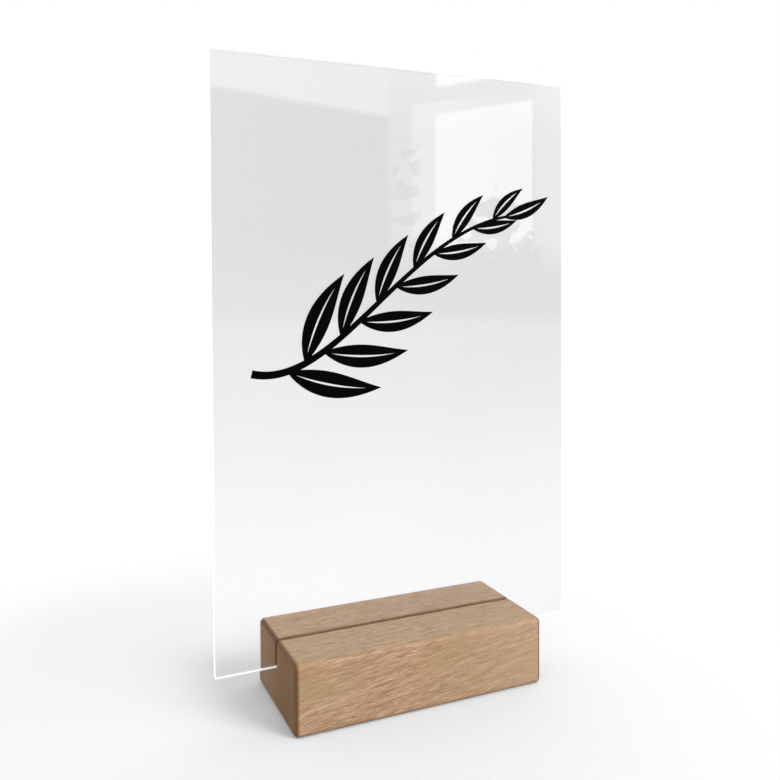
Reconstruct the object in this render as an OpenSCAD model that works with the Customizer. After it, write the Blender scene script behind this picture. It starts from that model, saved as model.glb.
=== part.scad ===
// Tabletop plaque: a clear sheet that stands upright in a slotted hardwood block,
// with a leafy sprig cut from thin vinyl film on the front of the sheet.
// Millimetres. +Z is up, +X is to the right, and -Y is the front.
// The origin is the centre of the block's underside.

/* [Wooden base] */
// Length of the block, along the slot
base_length = 101; // [80:1:130]
// Depth of the block, from front to back
base_depth = 48; // [36:1:70]
// Height of the block
base_height = 26; // [20:1:40]
// Radius of the block's rounded edges
edge_radius = 2; // [1:0.5:4]

/* [Slot] */
// Depth of the slot below the top of the block
slot_depth = 10; // [6:0.5:14]
// Gap between the sheet and each wall of the slot
slot_clearance = 0.1; // [0.05:0.05:0.3]
// Width of the bevel along each edge of the slot's mouth
slot_bevel = 0.5; // [0.2:0.1:1]

/* [Clear sheet] */
// Width of the sheet
sheet_width = 150; // [140:1:200]
// Height of the sheet
sheet_height = 225; // [180:1:300]
// Thickness of the sheet
sheet_thickness = 3; // [2:0.5:5]
// How far the middle of the sheet stands to the right of the block's
sheet_shift = 2; // [-10:0.5:10]

/* [Vinyl sprig] */
// Thickness of the film that the sprig is cut from
film_thickness = 0.1; // [0.05:0.05:0.3]
// Size of the sprig, 1 being as drawn
sprig_scale = 1; // [0.7:0.05:1]
// How far the sprig's centre stands to the right of the sheet's
sprig_shift = 3; // [-2:0.5:4]
// Distance from the top of the sheet to the sprig's centre
sprig_drop = 80; // [60:1:110]
// Number of leaves along the two sides of the stem
side_leaves = 12; // [6:1:12]
// Length of the leaf nearest the stem's foot
longest_leaf = 39; // [30:1:39]
// Length of the leaf nearest the stem's tip
shortest_leaf = 20; // [15:1:23]
// Width of a leaf as a share of its length
leaf_slenderness = 0.25; // [0.18:0.01:0.26]

/* [Hidden] */

slot_width = sheet_thickness + 2 * slot_clearance;
slot_floor = base_height - slot_depth;
sheet_front = -sheet_thickness / 2;
overcut = 1;
arc_facets = 48;

// The stem's centre line is one S-shaped cubic Bezier curve. These are its control points,
// as distances to the right of and above the sprig's centre.
stem_foot = [-64, -36];
stem_foot_pull = [-32, -44];
stem_tip_pull = [-2, 16];
stem_tip = [44, 24];
stem_foot_width = 3;
stem_tip_width = 1.1;
stem_steps = 48;

// Leaves grow from the stem's centre line to its right and left in turn, from the first place
// along it to the last, so the whole sprig is one piece of film. A leaf's direction follows the
// stem's local heading only in part.
first_leaf_at = 0.14;
last_leaf_at = 0.95;
lowest_leaf_angle = 50;
highest_leaf_angle = 30;
sprig_heading = 32;
heading_evenness = 0.6;
tip_leaf_share = 0.8;
tip_leaf_overlap = 1.5;

// A leaf curves gently along its length, is widest a little below its middle, and has
// a slim window along its centre line for a vein.
leaf_bend = 26;
leaf_fullness = 0.85;
leaf_steps = 28;
vein_start = 0.1;
vein_end = 0.84;
vein_width = 0.75;

function mix(a, b, share) = a + (b - a) * share;

function along(angle) = [cos(angle), sin(angle)];

function across(angle) = [-sin(angle), cos(angle)];

function reversed(points) = [for (i = [len(points) - 1 : -1 : 0]) points[i]];

function stem_point(t) =
    pow(1 - t, 3) * stem_foot
    + 3 * t * pow(1 - t, 2) * stem_foot_pull
    + 3 * pow(t, 2) * (1 - t) * stem_tip_pull
    + pow(t, 3) * stem_tip;

function stem_slope(t) =
    3 * pow(1 - t, 2) * (stem_foot_pull - stem_foot)
    + 6 * t * (1 - t) * (stem_tip_pull - stem_foot_pull)
    + 3 * pow(t, 2) * (stem_tip - stem_tip_pull);

function stem_heading(t) = let (slope = stem_slope(t)) atan2(slope[1], slope[0]);

function stem_half_width(t) = mix(stem_foot_width, stem_tip_width, t) / 2;

function stem_side(side) = [
    for (i = [0 : stem_steps])
        let (t = i / stem_steps)
            stem_point(t) + side * stem_half_width(t) * across(stem_heading(t))
];

// A point on a leaf's curved centre line, which turns by bend degrees over the leaf's length.
function leaf_middle(length, bend, t) =
    let (radius = length / (bend * PI / 180))
        radius * [sin(bend * t), 1 - cos(bend * t)];

// One side of a pointed outline that follows the leaf's centre line between two of its points.
function leaf_side(length, bend, half_width, from, to, first, last) = [
    for (i = [first : last])
        let (share = i / leaf_steps, t = mix(from, to, share))
            leaf_middle(length, bend, t)
            + half_width * sin(180 * pow(share, leaf_fullness)) * across(bend * t)
];

function leaf_loop(length, bend, width, from, to) = concat(
    leaf_side(length, bend, width / 2, from, to, 0, leaf_steps),
    reversed(leaf_side(length, bend, -width / 2, from, to, 1, leaf_steps - 1))
);

module rounded_rectangle(size) {
    span = size - 2 * [edge_radius, edge_radius];
    square([size[0], span[1]], center = true);
    square([span[0], size[1]], center = true);
    for (x = [-1, 1], y = [-1, 1])
        translate([x * span[0] / 2, y * span[1] / 2])
            circle(r = edge_radius, $fn = arc_facets);
}

// Three rounded profiles, seen from above, from the front and from the side, meet in one block.
module rounded_block() {
    intersection() {
        linear_extrude(base_height)
            rounded_rectangle([base_length, base_depth]);
        translate([0, base_depth / 2, base_height / 2])
            rotate([90, 0, 0])
                linear_extrude(base_depth)
                    rounded_rectangle([base_length, base_height]);
        translate([-base_length / 2, 0, base_height / 2])
            rotate([90, 0, 90])
                linear_extrude(base_length)
                    rounded_rectangle([base_depth, base_height]);
    }
}

// The slot runs right through the block from end to end, and its mouth is bevelled.
module slot_cut() {
    wall = slot_width / 2;
    mouth = wall + slot_bevel;
    translate([-base_length / 2 - overcut, 0, 0])
        rotate([90, 0, 90])
            linear_extrude(base_length + 2 * overcut)
                polygon([
                    [-wall, slot_floor],
                    [wall, slot_floor],
                    [wall, base_height - slot_bevel],
                    [mouth, base_height],
                    [mouth, base_height + overcut],
                    [-mouth, base_height + overcut],
                    [-mouth, base_height],
                    [-wall, base_height - slot_bevel]
                ]);
}

module wooden_base() {
    color([0.74, 0.6, 0.46])
        difference() {
            rounded_block();
            slot_cut();
        }
}

module clear_sheet() {
    color([0.93, 0.95, 0.95, 0.3])
        translate([sheet_shift - sheet_width / 2, sheet_front, slot_floor])
            cube([sheet_width, sheet_thickness, sheet_height]);
}

// Lays a flat outline, drawn round the sprig's centre, on the front of the sheet as film.
module film() {
    color([0.03, 0.03, 0.03])
        translate([
            sheet_shift + sprig_shift,
            sheet_front,
            slot_floor + sheet_height - sprig_drop
        ])
            rotate([90, 0, 0])
                linear_extrude(film_thickness)
                    scale(sprig_scale)
                        children();
}

module leaf_outline(length, bend) {
    difference() {
        polygon(leaf_loop(length, bend, length * leaf_slenderness, 0, 1));
        polygon(leaf_loop(length, bend, vein_width, vein_start, vein_end));
    }
}

module stem_outline() {
    polygon(concat(stem_side(1), reversed(stem_side(-1))));
}

module tip_leaf_outline() {
    heading = stem_heading(1);
    translate(stem_point(1) - tip_leaf_overlap * along(heading))
        rotate(heading)
            leaf_outline(mix(longest_leaf, shortest_leaf, tip_leaf_share), leaf_bend);
}

module side_leaf_outline(i) {
    share = (i - 1) / (side_leaves - 1);
    t = mix(first_leaf_at, last_leaf_at, share);
    side = i % 2 == 0 ? 1 : -1;
    spread = side * mix(lowest_leaf_angle, highest_leaf_angle, share);
    translate(stem_point(t))
        rotate(mix(stem_heading(t), sprig_heading, heading_evenness) + spread)
            leaf_outline(mix(longest_leaf, shortest_leaf, share), -side * leaf_bend);
}

module vinyl_sprig() {
    film() {
        stem_outline();
        tip_leaf_outline();
        for (i = [1 : side_leaves])
            side_leaf_outline(i);
    }
}

wooden_base();
clear_sheet();
vinyl_sprig();
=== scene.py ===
"""Looks of the tabletop plaque: an oak block, a clear acrylic sheet and a sprig in black vinyl film."""
import math

import bmesh
import bpy
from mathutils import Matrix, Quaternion, Vector


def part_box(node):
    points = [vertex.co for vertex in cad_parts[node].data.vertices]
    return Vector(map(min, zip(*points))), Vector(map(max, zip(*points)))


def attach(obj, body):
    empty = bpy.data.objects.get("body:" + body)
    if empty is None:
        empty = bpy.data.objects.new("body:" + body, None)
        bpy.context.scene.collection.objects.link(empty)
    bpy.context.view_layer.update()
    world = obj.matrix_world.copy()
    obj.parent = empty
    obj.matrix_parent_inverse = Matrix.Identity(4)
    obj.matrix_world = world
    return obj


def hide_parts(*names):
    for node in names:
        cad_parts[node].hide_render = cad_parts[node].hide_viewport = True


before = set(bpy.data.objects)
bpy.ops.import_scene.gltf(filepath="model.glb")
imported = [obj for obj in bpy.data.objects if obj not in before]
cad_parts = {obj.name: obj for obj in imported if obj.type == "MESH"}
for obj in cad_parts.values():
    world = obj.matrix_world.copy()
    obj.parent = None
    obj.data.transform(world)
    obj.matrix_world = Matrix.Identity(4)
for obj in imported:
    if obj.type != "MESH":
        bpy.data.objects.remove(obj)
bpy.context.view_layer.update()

MM = 0.001

BASE_LOW, BASE_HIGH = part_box("wooden_base")
SHEET_LOW, SHEET_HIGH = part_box("clear_sheet")


# ---------------------------------------------------------------- node helpers


class Tree:
    """Adds nodes to a material's or world's node tree, and links what they are given."""

    def __init__(self, owner):
        owner.use_nodes = True
        self.nodes = owner.node_tree.nodes
        self.links = owner.node_tree.links
        self.nodes.clear()

    def feed(self, socket, value):
        if isinstance(value, bpy.types.NodeSocket):
            self.links.new(value, socket)
        else:
            socket.default_value = value

    def add(self, kind, inputs=None, **settings):
        node = self.nodes.new(kind)
        for name, value in settings.items():
            setattr(node, name, value)
        for key, value in (inputs or {}).items():
            self.feed(node.inputs[key], value)
        return node

    def math(self, operation, a, b=0.0, c=0.0, clamp=False):
        node = self.add("ShaderNodeMath", operation=operation, use_clamp=clamp)
        for socket, value in zip(node.inputs, (a, b, c)):
            self.feed(socket, value)
        return node.outputs[0]

    def ramp(self, value, start, end, low=0.0, high=1.0):
        """Goes smoothly from low to high as value goes from start to end."""
        node = self.add("ShaderNodeMapRange", interpolation_type="SMOOTHSTEP")
        for socket, given in zip(node.inputs, (value, start, end, low, high)):
            self.feed(socket, given)
        return node.outputs[0]

    def mix(self, share, a, b, blend="MIX"):
        """Mixes two colours."""
        node = self.add("ShaderNodeMix", data_type="RGBA", blend_type=blend)
        self.feed(node.inputs[0], share)
        self.feed(node.inputs[6], a)
        self.feed(node.inputs[7], b)
        return node.outputs[2]

    def noise(self, vector, scale=1.0, detail=2.0, roughness=0.5, stretch=(1, 1, 1)):
        """Noise from 0 to 1 over a vector that is first multiplied by stretch."""
        place = self.add("ShaderNodeVectorMath", operation="MULTIPLY")
        self.feed(place.inputs[0], vector)
        self.feed(place.inputs[1], stretch)
        node = self.add(
            "ShaderNodeTexNoise",
            {"Vector": place.outputs[0], "Scale": scale, "Detail": detail, "Roughness": roughness},
        )
        return node.outputs["Fac"]

    def xyz(self, vector):
        node = self.add("ShaderNodeSeparateXYZ", {0: vector})
        return node.outputs

    def mm_position(self):
        """The place on the object in its own frame, in millimetres."""
        place = self.add("ShaderNodeTexCoord")
        scaled = self.add("ShaderNodeVectorMath", operation="SCALE")
        self.feed(scaled.inputs[0], place.outputs["Object"])
        scaled.inputs["Scale"].default_value = 1 / MM
        return scaled.outputs[0]

    def surface(self, shader):
        self.add("ShaderNodeOutputMaterial", {"Surface": shader})


def rgb(red, green, blue):
    """A colour given as it looks on a screen, from 0 to 255, turned to linear light."""
    def linear(level):
        level /= 255
        return level / 12.92 if level <= 0.04045 else ((level + 0.055) / 1.055) ** 2.4

    return (linear(red), linear(green), linear(blue), 1.0)


# ---------------------------------------------------------------- materials

GRAIN_SLOPE = math.radians(8)
# The block's upper front left corner, in millimetres, where the wood is yellower.
OCHRE_CORNER = (-49, -24, 23)

PALE_RING = rgb(203, 168, 135)
DARK_RING = rgb(186, 150, 116)
STREAK = rgb(160, 124, 91)
FIBRE = rgb(140, 104, 72)
LIGHT_FLECK = rgb(224, 188, 160)
PORE = rgb(104, 75, 50)
CLOUD = rgb(172, 144, 102)
# The grey of the top's painted sheen.
TOP_SHEEN_GREY = rgb(184, 161, 130)
PALE_SIDE = rgb(210, 180, 158)
TOP_DASH = rgb(140, 112, 80)
OCHRE = rgb(172, 140, 94)
# The ends' colours: painted shade at the front, painted light at the back.
SHADED_END_GRAIN = rgb(139, 101, 60)
SHADED_END_STREAK = rgb(117, 82, 43)
LIT_END_GRAIN = rgb(170, 133, 102)
LIT_END_STREAK = rgb(152, 116, 86)
DARK_EDGE_COLOUR = rgb(106, 71, 34)
# Painted shade inside the slot.
SLOT_SHADE = rgb(92, 62, 34)
BOUNCED_GREY = (0.34, 0.34, 0.34, 1)


def oak():
    """Light oak, solid through the block: fibres climb to the right along it."""
    mat = bpy.data.materials.new("oak")
    t = Tree(mat)
    place = t.mm_position()
    turned = t.add(
        "ShaderNodeVectorRotate", {"Vector": place, "Angle": GRAIN_SLOPE}, rotation_type="Y_AXIS"
    )
    sway = t.noise(turned.outputs[0], 0.022, 2, 0.5, (0.7, 1, 1))
    lift = t.math("MULTIPLY", t.math("SUBTRACT", sway, 0.5), 4.0)
    shifted = t.add("ShaderNodeVectorMath", operation="ADD")
    t.feed(shifted.inputs[0], turned.outputs[0])
    t.feed(shifted.inputs[1], t.add("ShaderNodeCombineXYZ", {"Y": lift, "Z": lift}).outputs[0])
    grain = shifted.outputs[0]

    along, across, up = t.xyz(grain)
    depth = t.math("ADD", t.math("MULTIPLY", across, 0.8), up)
    layered = t.add("ShaderNodeCombineXYZ", {"X": t.math("MULTIPLY", along, 0.03), "Y": depth})
    rings = t.noise(layered.outputs[0], 0.5, 3, 0.6)
    streaks = t.noise(grain, 1.0, 4, 0.65, (0.09, 2.2, 2.2))
    fibres = t.noise(grain, 1.0, 3, 0.6, (0.2, 4.6, 4.6))
    pores = t.noise(grain, 1.0, 2, 0.5, (0.3, 5.0, 5.0))
    flecks = t.noise(grain, 1.0, 3, 0.6, (0.14, 1.6, 3.0))
    clouds = t.noise(place, 0.045, 2, 0.5, (0.5, 1, 1))

    x, y, z = t.xyz(place)
    facing = t.xyz(t.add("ShaderNodeTexCoord").outputs["Normal"])
    flat_top = t.ramp(facing[2], 0.6, 0.95)
    colour = t.mix(t.ramp(rings, 0.38, 0.64), PALE_RING, DARK_RING)
    colour = t.mix(t.ramp(streaks, 0.4, 0.64, 0, 0.95), colour, STREAK)
    colour = t.mix(t.ramp(fibres, 0.5, 0.7, 0, 0.6), colour, FIBRE)
    fewer_on_top = t.math("MULTIPLY", flat_top, 0.45)
    light_flecks = t.math("SUBTRACT", t.ramp(flecks, 0.5, 0.66, 0, 0.8), fewer_on_top, clamp=True)
    colour = t.mix(light_flecks, colour, LIGHT_FLECK)
    colour = t.mix(t.ramp(pores, 0.6, 0.7, 0, 0.65), colour, PORE)
    colour = t.mix(t.ramp(clouds, 0.4, 0.7, 0, 0.45), colour, CLOUD)
    # Painted sheen makes the top greyer, most of all in front of the sheet, and the sides grow paler to
    # the right.
    sheen_share = t.math("MULTIPLY", flat_top, t.ramp(y, -2, 2, 0.44, 0.26))
    colour = t.mix(sheen_share, colour, TOP_SHEEN_GREY)
    pale_share = t.math("MULTIPLY", t.math("SUBTRACT", 1.0, flat_top), t.ramp(x, 0, 50, 0, 0.2))
    colour = t.mix(pale_share, colour, PALE_SIDE)
    dashes = t.ramp(t.noise(place, 1.0, 3, 0.65, (0.1, 1.1, 1.0)), 0.48, 0.66, 0, 0.7)
    colour = t.mix(t.math("MULTIPLY", flat_top, dashes), colour, TOP_DASH)
    from_corner = t.add("ShaderNodeVectorMath", operation="DISTANCE")
    t.feed(from_corner.inputs[0], place)
    t.feed(from_corner.inputs[1], OCHRE_CORNER)
    ochre = t.ramp(from_corner.outputs["Value"], 14, 3, 0, 0.4)
    colour = t.mix(ochre, colour, OCHRE)

    # The ends are darker end grain, with painted shade at the front turning to painted light at the
    # back.
    shaded_end = t.mix(t.ramp(streaks, 0.3, 0.7), SHADED_END_GRAIN, SHADED_END_STREAK)
    lit_end = t.mix(t.ramp(streaks, 0.3, 0.7), LIT_END_GRAIN, LIT_END_STREAK)
    end_grain = t.ramp(t.math("ABSOLUTE", facing[0]), 0.75, 1.0, 0, 0.95)
    colour = t.mix(end_grain, colour, t.mix(t.ramp(y, -12, 16), shaded_end, lit_end))
    # The rounded edges are darker, the ends' edges most.
    edge_darkness = t.add("ShaderNodeAttribute", attribute_name="edge").outputs["Fac"]
    colour = t.mix(t.math("POWER", edge_darkness, 1.4), colour, DARK_EDGE_COLOUR)
    # Inside the slot, and at its mouth, painted shade darkens the wood.
    near_slot = t.ramp(t.math("ABSOLUTE", y), 1.65, 1.95, 1, 0)
    in_slot = t.math("MULTIPLY", near_slot, t.ramp(z, 15.4, 15.9))
    colour = t.mix(t.math("MULTIPLY", in_slot, 0.5), colour, SLOT_SHADE)
    # The photograph's floor is neutral, so the light that the wood throws on it is mostly grey.
    bounced = t.add("ShaderNodeLightPath").outputs["Is Diffuse Ray"]
    colour = t.mix(t.math("MULTIPLY", bounced, 0.75), colour, BOUNCED_GREY)

    rough = t.math("MULTIPLY_ADD", end_grain, 0.25, t.ramp(fibres, 0.3, 0.8, 0.46, 0.6))
    relief = t.math("SUBTRACT", t.math("MULTIPLY", streaks, 0.6), t.ramp(pores, 0.6, 0.74, 0, 0.8))
    bump = t.add("ShaderNodeBump", {"Strength": 0.35, "Distance": 0.08 * MM, "Height": relief})
    shader = t.add(
        "ShaderNodeBsdfPrincipled",
        {"Base Color": colour, "Roughness": rough, "Normal": bump.outputs[0], "IOR": 1.45},
    )
    t.surface(shader.outputs[0])
    return mat


LOW_TINT = (0.955, 0.957, 0.96, 1)
# The upper end of the sheet's painted grey.
HIGH_PAINTED_GREY = (0.748, 0.75, 0.752, 1)
LAMP_TINT = (0.95, 0.95, 0.95, 1)


def passes_lamp_light(t, shader):
    """Lets light from lamps through a clear shader, so that it casts only a faint shadow."""
    through = t.add("ShaderNodeBsdfTransparent", {"Color": LAMP_TINT})
    for_lamps = t.add("ShaderNodeLightPath").outputs["Is Shadow Ray"]
    both = t.add("ShaderNodeMixShader", {0: for_lamps, 1: shader, 2: through.outputs[0]})
    return both.outputs[0]


def clear_acrylic():
    """The sheet's polished faces. Painted grey, standing in for a reflection, makes them greyer higher
    up.
    """
    mat = bpy.data.materials.new("clear_acrylic")
    t = Tree(mat)
    place = t.mm_position()
    grey_wobble = t.noise(place, 0.02, 2)
    x, _, z = t.xyz(place)
    # Painted reflection: grey that grows upwards and to the right, with a slight wobble.
    painted_grey_share = t.math("ADD", t.ramp(z, 35, 185, 0, 1.04), t.ramp(x, -75, 75, -0.04, 0.09))
    painted_grey_share = t.math("ADD", painted_grey_share, t.math("MULTIPLY", t.math("SUBTRACT", grey_wobble, 0.5), 0.2), clamp=True)
    tint_and_painted_grey = t.mix(painted_grey_share, LOW_TINT, HIGH_PAINTED_GREY)
    waves = t.noise(place, 0.03, 1)
    bump = t.add("ShaderNodeBump", {"Strength": 0.1, "Distance": 0.05 * MM, "Height": waves})
    shader = t.add(
        "ShaderNodeBsdfPrincipled",
        {
            "Base Color": tint_and_painted_grey,
            "Roughness": 0.0,
            "IOR": 1.49,
            "Transmission Weight": 1.0,
            "Normal": bump.outputs[0],
        },
    )
    t.surface(passes_lamp_light(t, shader.outputs[0]))
    return mat


# A sheet pipes light to its cut edges. Path tracing barely shows that, so they glow instead.
EDGE_GLOW = 0.86
LEVEL_EDGE_GLOW = 0.55
SAWN_PALE = (0.45, 0.452, 0.455, 1)
SAWN_DARK = (0.36, 0.363, 0.366, 1)


def cut_acrylic_edge():
    """The sheet's cut edges, which gather light and look white: finely sawn lines on frosted plastic."""
    mat = bpy.data.materials.new("cut_acrylic_edge")
    t = Tree(mat)
    place = t.mm_position()
    saw_marks = t.noise(place, 1.0, 2, 0.5, (3.0, 0.4, 3.0))
    colour = t.mix(t.ramp(saw_marks, 0.3, 0.7), SAWN_PALE, SAWN_DARK)
    rough = t.ramp(saw_marks, 0.3, 0.7, 0.3, 0.42)
    bump = t.add("ShaderNodeBump", {"Strength": 0.2, "Distance": 0.02 * MM, "Height": saw_marks})
    facing = t.xyz(t.add("ShaderNodeTexCoord").outputs["Normal"])
    level = t.ramp(t.math("ABSOLUTE", facing[2]), 0.3, 0.9)
    glow = t.math("MULTIPLY_ADD", level, LEVEL_EDGE_GLOW - EDGE_GLOW, EDGE_GLOW)
    shader = t.add(
        "ShaderNodeBsdfPrincipled",
        {
            "Base Color": colour,
            "Roughness": rough,
            "IOR": 1.49,
            "Transmission Weight": 0.3,
            "Normal": bump.outputs[0],
            "Emission Color": (1, 1, 1, 1),
            "Emission Strength": glow,
        },
    )
    t.surface(passes_lamp_light(t, shader.outputs[0]))
    return mat


VINYL_BLACK = (0.0006, 0.0006, 0.0007, 1)
VINYL_PATCH = (0.0012, 0.0012, 0.0013, 1)


def black_vinyl():
    """Cut film: deep black with a satin, very finely pebbled face."""
    mat = bpy.data.materials.new("black_vinyl")
    t = Tree(mat)
    place = t.mm_position()
    pebbles = t.noise(place, 2.4, 2)
    patches = t.noise(place, 0.12, 2)
    colour = t.mix(t.ramp(patches, 0.3, 0.7), VINYL_BLACK, VINYL_PATCH)
    rough = t.ramp(pebbles, 0.3, 0.7, 0.42, 0.55)
    bump = t.add("ShaderNodeBump", {"Strength": 0.15, "Distance": 0.01 * MM, "Height": pebbles})
    shader = t.add(
        "ShaderNodeBsdfPrincipled",
        {
            "Base Color": colour,
            "Roughness": rough,
            "Normal": bump.outputs[0],
            "Specular IOR Level": 0.015,
        },
    )
    t.surface(shader.outputs[0])
    return mat


# ---------------------------------------------------------------- geometry


def finished_object(name, mesh_builder, materials, smooth_below=None):
    """Turns a bmesh into an object. Faces that meet at less than an angle are shaded as one curve."""
    mesh = bpy.data.meshes.new(name)
    mesh_builder.to_mesh(mesh)
    mesh_builder.free()
    for material in materials:
        mesh.materials.append(material)
    piece = bpy.data.objects.new(name, mesh)
    bpy.context.scene.collection.objects.link(piece)
    if smooth_below is not None:
        mesh.shade_smooth()
        mesh.set_sharp_from_angle(angle=math.radians(smooth_below))
        flat_faces_first = piece.modifiers.new("flat_faces_first", "WEIGHTED_NORMAL")
        flat_faces_first.keep_sharp = True
    return piece


# ---------------------------------------------------------------- oak block

EDGE_RADIUS = 2 * MM
MOUTH_RADIUS = 0.5 * MM
SLOT_CLEARANCE = 0.1 * MM
SLOT_HALF_WIDTH = (SHEET_HIGH.y - SHEET_LOW.y) / 2 + SLOT_CLEARANCE
SLOT_FLOOR = SHEET_LOW.z
EDGE_STEPS = 10
MOUTH_STEPS = 5
# How dark the long edges are, where the ends' edges count as 1.
LONG_EDGE_DARKNESS = 0.3


def arc(centre, radius, start, end, steps):
    """Points on an arc, in degrees anticlockwise, with both of its ends."""
    angles = [math.radians(start + (end - start) * i / steps) for i in range(steps + 1)]
    return [(centre[0] + radius * math.cos(a), centre[1] + radius * math.sin(a)) for a in angles]


def block_outline(inset, slot_inset):
    """The block's outline seen from its end, as (y, z) points with a roundness for each."""
    half = (BASE_HIGH.y - BASE_LOW.y) / 2
    low, high = BASE_LOW.z, BASE_HIGH.z
    flat_y = half - EDGE_RADIUS
    low_centre, high_centre = low + EDGE_RADIUS, high - EDGE_RADIUS
    radius = EDGE_RADIUS - inset
    wall = SLOT_HALF_WIDTH + slot_inset
    top = high - inset
    floor = SLOT_FLOOR - slot_inset
    mouth = wall + MOUTH_RADIUS
    corners = [
        (arc((-flat_y, low_centre), radius, 180, 270, EDGE_STEPS), EDGE_STEPS),
        (arc((flat_y, low_centre), radius, 270, 360, EDGE_STEPS), EDGE_STEPS),
        (arc((flat_y, high_centre), radius, 0, 90, EDGE_STEPS), EDGE_STEPS),
        (arc((mouth, top - MOUTH_RADIUS), MOUTH_RADIUS, 90, 180, MOUTH_STEPS), MOUTH_STEPS),
        ([(wall, floor), (-wall, floor)], 0),
        (arc((-mouth, top - MOUTH_RADIUS), MOUTH_RADIUS, 0, 90, MOUTH_STEPS), MOUTH_STEPS),
        (arc((-flat_y, high_centre), radius, 90, 180, EDGE_STEPS), EDGE_STEPS),
    ]
    points = []
    for stretch, steps in corners:
        for i, (y, z) in enumerate(stretch):
            roundness = LONG_EDGE_DARKNESS * math.sin(math.pi * i / steps) if steps == EDGE_STEPS else 0.0
            points.append((y, z, roundness))
    return points


def oak_block():
    """A block swept along X, its outline drawn in at both ends to round them, with a slot through it."""
    end = (BASE_HIGH.x - BASE_LOW.x) / 2
    middle = (BASE_HIGH.x + BASE_LOW.x) / 2
    stations = []
    for i in range(EDGE_STEPS + 1):
        angle = math.pi / 2 * i / EDGE_STEPS
        inset = EDGE_RADIUS * (1 - math.sin(angle))
        reach = end - EDGE_RADIUS * (1 - math.cos(angle))
        past_mouth = max(0.0, reach - (end - MOUTH_RADIUS)) / MOUTH_RADIUS
        slot_inset = MOUTH_RADIUS * (1 - math.sqrt(max(0.0, 1 - past_mouth**2)))
        stations.append((reach, inset, slot_inset, math.sin(math.pi * i / EDGE_STEPS)))
    # Both ends use the same stations, the right end's in reverse.
    rows = [(-reach, *rest) for reach, *rest in stations] + list(reversed(stations))

    mesh_builder = bmesh.new()
    edge_layer = mesh_builder.verts.layers.float.new("edge")
    rings = []
    for x, inset, slot_inset, end_roundness in rows:
        ring = []
        for y, z, roundness in block_outline(inset, slot_inset):
            vertex = mesh_builder.verts.new((middle + x, y, z))
            vertex[edge_layer] = max(roundness, end_roundness)
            ring.append(vertex)
        rings.append(ring)
    count = len(rings[0])
    for first, second in zip(rings, rings[1:]):
        for i in range(count):
            j = (i + 1) % count
            mesh_builder.faces.new((first[i], first[j], second[j], second[i]))
    mesh_builder.faces.new(list(reversed(rings[0])))
    mesh_builder.faces.new(rings[-1])
    bmesh.ops.recalc_face_normals(mesh_builder, faces=mesh_builder.faces)
    return finished_object("oak_block", mesh_builder, [oak()], smooth_below=35)


# ---------------------------------------------------------------- clear sheet

SHEET_BEVEL = 0.12 * MM
BEVEL_STEPS = 2
FILM_GAP = 0.01 * MM


def acrylic_sheet():
    """The sheet with finely broken edges. Its front stands a hair behind the film."""
    low = SHEET_LOW + Vector((0, FILM_GAP, 0))
    size = SHEET_HIGH - low
    mesh_builder = bmesh.new()
    bmesh.ops.create_cube(mesh_builder, size=1)
    for vertex in mesh_builder.verts:
        vertex.co = Vector(low[axis] + size[axis] * (vertex.co[axis] + 0.5) for axis in range(3))
    bmesh.ops.bevel(
        mesh_builder,
        geom=mesh_builder.edges[:],
        offset=SHEET_BEVEL,
        segments=BEVEL_STEPS,
        profile=0.5,
        affect="EDGES",
    )
    for face in mesh_builder.faces:
        is_cut_edge = max(abs(face.normal.x), abs(face.normal.z)) > 0.99
        face.material_index = 1 if is_cut_edge else 0
    return finished_object("acrylic_sheet", mesh_builder, [clear_acrylic(), cut_acrylic_edge()])


# ---------------------------------------------------------------- pieces

block = oak_block()
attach(block, "base")
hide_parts("wooden_base")

sheet = acrylic_sheet()
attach(sheet, "sheet")
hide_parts("clear_sheet")

vinyl = black_vinyl()
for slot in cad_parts["vinyl_sprig"].material_slots:
    slot.material = vinyl


# ---------------------------------------------------------------- floor, light and camera

FLOOR_RADIUS = 6.0
# The floor is least bright around here, in millimetres: on the shadow's side of the block.
FLOOR_SHADE_CENTRE = (-60, 0, 0)
# How far from there it starts to turn white, and how far it has, directly and through the sheet.
WHITER_FROM, WHITE_FROM = 95, 200
SHEET_WHITER_FROM, SHEET_WHITE_FROM = 30, 115
PAPER = (0.92, 0.928, 0.938, 1)
PALE_PAPER = (0.935, 0.943, 0.953, 1)
BOUNCING_PAPER = (0.5, 0.5, 0.5, 1)


def floor_material():
    """Pale matte paper that turns plain white away from the object, and sooner through the sheet."""
    mat = bpy.data.materials.new("pale_floor")
    t = Tree(mat)
    place = t.mm_position()
    mottle = t.noise(place, 0.01, 2)
    path = t.add("ShaderNodeLightPath")
    colour = t.mix(mottle, PAPER, PALE_PAPER)
    colour = t.mix(path.outputs["Is Diffuse Ray"], colour, BOUNCING_PAPER)
    paper = t.add("ShaderNodeBsdfDiffuse", {"Color": colour})
    away = t.add("ShaderNodeVectorMath", operation="DISTANCE")
    t.feed(away.inputs[0], place)
    t.feed(away.inputs[1], FLOOR_SHADE_CENTRE)
    distance = away.outputs["Value"]
    whiter = t.ramp(distance, WHITER_FROM, WHITE_FROM)
    seen_directly = t.math("MULTIPLY", path.outputs["Is Camera Ray"], whiter)
    whiter_through_sheet = t.ramp(distance, SHEET_WHITER_FROM, SHEET_WHITE_FROM)
    through_sheet = path.outputs["Is Transmission Ray"]
    white = t.math("MULTIPLY_ADD", through_sheet, whiter_through_sheet, seen_directly, clamp=True)
    glow = t.add("ShaderNodeEmission", {"Color": (1, 1, 1, 1), "Strength": 1.0})
    shader = t.add("ShaderNodeMixShader", {0: white, 1: paper.outputs[0], 2: glow.outputs[0]})
    t.surface(shader.outputs[0])
    return mat


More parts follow.
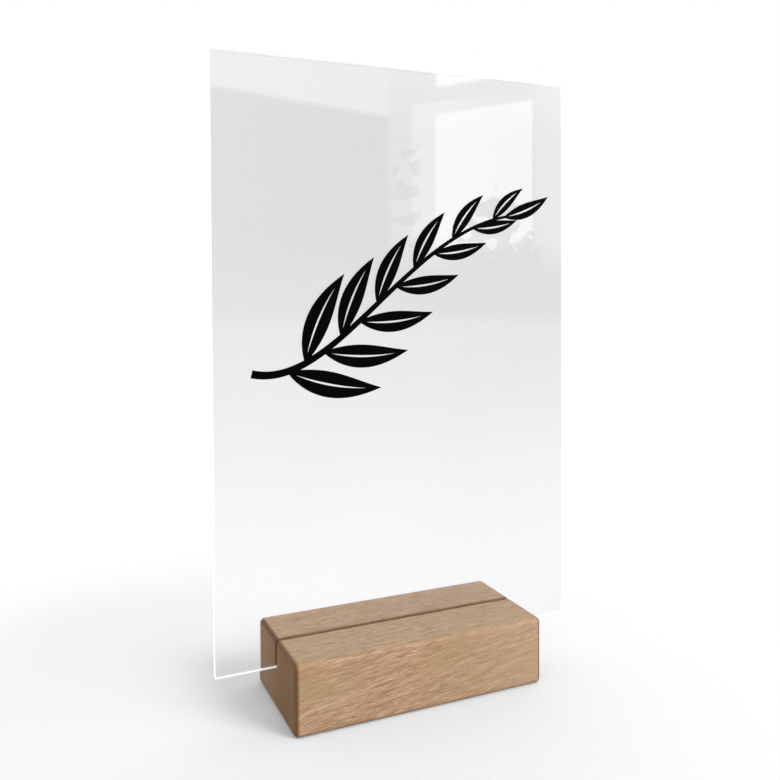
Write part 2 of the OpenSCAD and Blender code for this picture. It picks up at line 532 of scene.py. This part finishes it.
def floor():
    """A wide disk of paper under the block."""
    mesh_builder = bmesh.new()
    bmesh.ops.create_circle(mesh_builder, cap_ends=True, segments=64, radius=FLOOR_RADIUS)
    mesh = bpy.data.meshes.new("floor")
    mesh_builder.to_mesh(mesh)
    mesh_builder.free()
    mesh.materials.append(floor_material())
    ground = bpy.data.objects.new("floor", mesh)
    bpy.context.scene.collection.objects.link(ground)


KEY_PLACE = Vector((1.6, -2.2, 1.7))
KEY_AIM = Vector((0, 0, 0.05))
KEY_SIZE = 1.5
KEY_POWER = 52.0


def key_light():
    """A large soft lamp on the right in front, which only lights things and is never seen."""
    lamp = bpy.data.lights.new("key", "AREA")
    lamp.shape = "DISK"
    lamp.size = KEY_SIZE
    lamp.energy = KEY_POWER
    holder = bpy.data.objects.new("key", lamp)
    holder.location = KEY_PLACE
    holder.rotation_euler = (KEY_AIM - KEY_PLACE).to_track_quat("-Z", "Y").to_euler()
    holder.visible_camera = False
    holder.visible_glossy = False
    holder.visible_transmission = False
    bpy.context.scene.collection.objects.link(holder)


# How bright the floor is, far away, where something reflects it.
FAR_FLOOR = 0.75


def studio_world():
    """White to look at, dimmer on the left as a light, and a plain room with a window in reflections."""
    world = bpy.data.worlds.new("studio")
    bpy.context.scene.world = world
    t = Tree(world)
    way = t.add("ShaderNodeTexCoord").outputs["Generated"]
    x, y, z = t.xyz(way)
    # Places on an imagined wall one metre in front of the object.
    ahead = t.math("MAXIMUM", t.math("MULTIPLY", y, -1.0), 0.05)
    p = t.math("DIVIDE", x, ahead)
    q = t.math("DIVIDE", z, ahead)

    def band(value, low, high, soft):
        inside = t.ramp(value, low - soft, low + soft)
        outside = t.ramp(value, high - soft, high + soft, 1, 0)
        return t.math("MULTIPLY", inside, outside)

    def height_over(start, slope):
        """How far q is over a line that goes through start at p = 0.5 and climbs by slope."""
        line = t.math("MULTIPLY_ADD", t.math("SUBTRACT", p, 0.5), slope, start)
        return t.math("SUBTRACT", q, line)

    def brighten(room, mask, amount):
        return t.math("MULTIPLY_ADD", mask, amount, room)

    # A dark wall under a lit ceiling on the left, and a paler wall with the window on the right.
    right_wall = t.ramp(p, 0.437, 0.449)
    left_wall = t.math("SUBTRACT", 1.0, right_wall)
    over_ceiling_line = t.ramp(height_over(0.211, -0.086), -0.006, 0.006)
    room = t.ramp(p, 0.2, 0.42, 0.7, 0.2)
    room = brighten(room, t.math("MULTIPLY", left_wall, over_ceiling_line), 3.1)
    room = brighten(room, right_wall, 1.4)
    room = brighten(room, t.math("MULTIPLY", right_wall, t.ramp(q, 0.19, 0.28)), 1.1)
    room = brighten(room, t.ramp(p, 0.65, 0.7), 1.1)
    # The window: its reveal, its large pane, and another pane over a bar.
    reveal = t.math("MULTIPLY", band(p, 0.476, 0.685, 0.005), t.ramp(q, 0.014, 0.022))
    reveal = t.math("MULTIPLY", reveal, t.ramp(height_over(0.239, 0.19), 0.004, -0.004))
    room = brighten(room, reveal, t.ramp(p, 0.5, 0.67, 1.7, 0.2))
    over_sill = t.ramp(height_over(0.029, 0.13), -0.003, 0.003)
    pane = t.math("MULTIPLY", band(p, 0.51, 0.664, 0.003), over_sill)
    pane = t.math("MULTIPLY", pane, t.ramp(height_over(0.222, 0.215), 0.004, -0.004))
    room = brighten(room, pane, t.ramp(p, 0.5, 0.67, 2.5, 3.2))
    over_bar = t.ramp(height_over(0.258, 0.24), -0.004, 0.004)
    upper_pane = t.math("MULTIPLY", band(p, 0.512, 0.67, 0.004), over_bar)
    room = brighten(room, upper_pane, 4.2)
    # Blurred house plants: one on the sill, low ones beside it, and some leaves by the corner.
    spot = t.add("ShaderNodeCombineXYZ", {"X": p, "Y": q}).outputs[0]
    foliage = t.noise(spot, 36, 1, 0.4, (1, 1.5, 1))
    from_crown = t.add("ShaderNodeVectorMath", operation="DISTANCE")
    t.feed(from_crown.inputs[0], spot)
    t.feed(from_crown.inputs[1], (0.606, 0.083, 0))
    near_crown = t.math("MULTIPLY_ADD", from_crown.outputs["Value"], -9.0, foliage)
    crown = t.ramp(near_crown, 0.15, 0.23)
    low_leaves = t.ramp(t.math("MULTIPLY_ADD", q, -9.0, foliage), -0.03, 0.03)
    low_leaves = t.math("MULTIPLY", low_leaves, band(p, 0.54, 0.68, 0.01))
    corner_leaves = t.math("MULTIPLY", t.ramp(foliage, 0.5, 0.56), band(p, 0.446, 0.486, 0.01))
    corner_leaves = t.math("MULTIPLY", corner_leaves, band(q, 0.03, 0.19, 0.01))
    plants = t.math("ADD", t.math("ADD", crown, low_leaves, clamp=True), corner_leaves, clamp=True)
    room = t.math("MULTIPLY", room, t.math("MULTIPLY_ADD", plants, -0.72, 1.0))
    # The walls fade into the far floor's brightness, so that no horizon line shows.
    above_floor = t.ramp(q, 0.0, 0.07)
    floor_share = t.math("MULTIPLY", t.math("SUBTRACT", 1.0, above_floor), FAR_FLOOR)
    room = t.math("MULTIPLY_ADD", room, above_floor, floor_share)
    in_front = t.ramp(y, 0.0, -0.2)
    behind = t.math("MULTIPLY", t.math("SUBTRACT", 1.0, in_front), t.ramp(x, -0.6, 0.1, 0.2, 1.0))
    reflected = t.math("ADD", t.math("MULTIPLY", room, in_front), behind)

    ambient = t.math("ADD", t.ramp(x, -0.6, 0.9, 0.65, 0.77), t.ramp(y, -0.1, 0.7, 0, 0.2))
    path = t.add("ShaderNodeLightPath")
    seen = t.add("ShaderNodeMix", data_type="FLOAT")
    t.feed(seen.inputs[0], path.outputs["Is Reflection Ray"])
    t.feed(seen.inputs[2], 1.0)
    t.feed(seen.inputs[3], reflected)
    level = t.add("ShaderNodeMix", data_type="FLOAT")
    t.feed(level.inputs[0], path.outputs["Is Diffuse Ray"])
    t.feed(level.inputs[2], seen.outputs[0])
    t.feed(level.inputs[3], ambient)
    background = t.add("ShaderNodeBackground", {"Color": (1, 1, 1, 1), "Strength": level.outputs[0]})
    t.add("ShaderNodeOutputWorld", {"Surface": background.outputs[0]})


# Found by fitting the edges of the block and the sheet. The shift is less than the best fit's,
# which crops other views less and moves the sheet's corners by a few pixels.
CAMERA_PLACE = Vector((-135.15, -297.71, 158.02)) * MM
CAMERA_HEADING = math.radians(23.89)
CAMERA_PITCH = math.radians(-1.2)
CAMERA_ROLL = math.radians(-0.28)
CAMERA_LENS = 38.5
CAMERA_SHIFT = -0.1154


def camera():
    data = bpy.data.cameras.new("camera")
    data.sensor_width = 36
    data.lens = CAMERA_LENS
    data.shift_y = CAMERA_SHIFT
    data.clip_start = 0.01
    eye = bpy.data.objects.new("camera", data)
    ahead = Vector((
        math.sin(CAMERA_HEADING) * math.cos(CAMERA_PITCH),
        math.cos(CAMERA_HEADING) * math.cos(CAMERA_PITCH),
        math.sin(CAMERA_PITCH),
    ))
    eye.rotation_mode = "QUATERNION"
    eye.rotation_quaternion = ahead.to_track_quat("-Z", "Y") @ Quaternion((0, 0, 1), CAMERA_ROLL)
    eye.location = CAMERA_PLACE
    bpy.context.scene.collection.objects.link(eye)
    bpy.context.scene.camera = eye


floor()
studio_world()
key_light()
camera()
bpy.context.scene.view_settings.view_transform = "Standard"
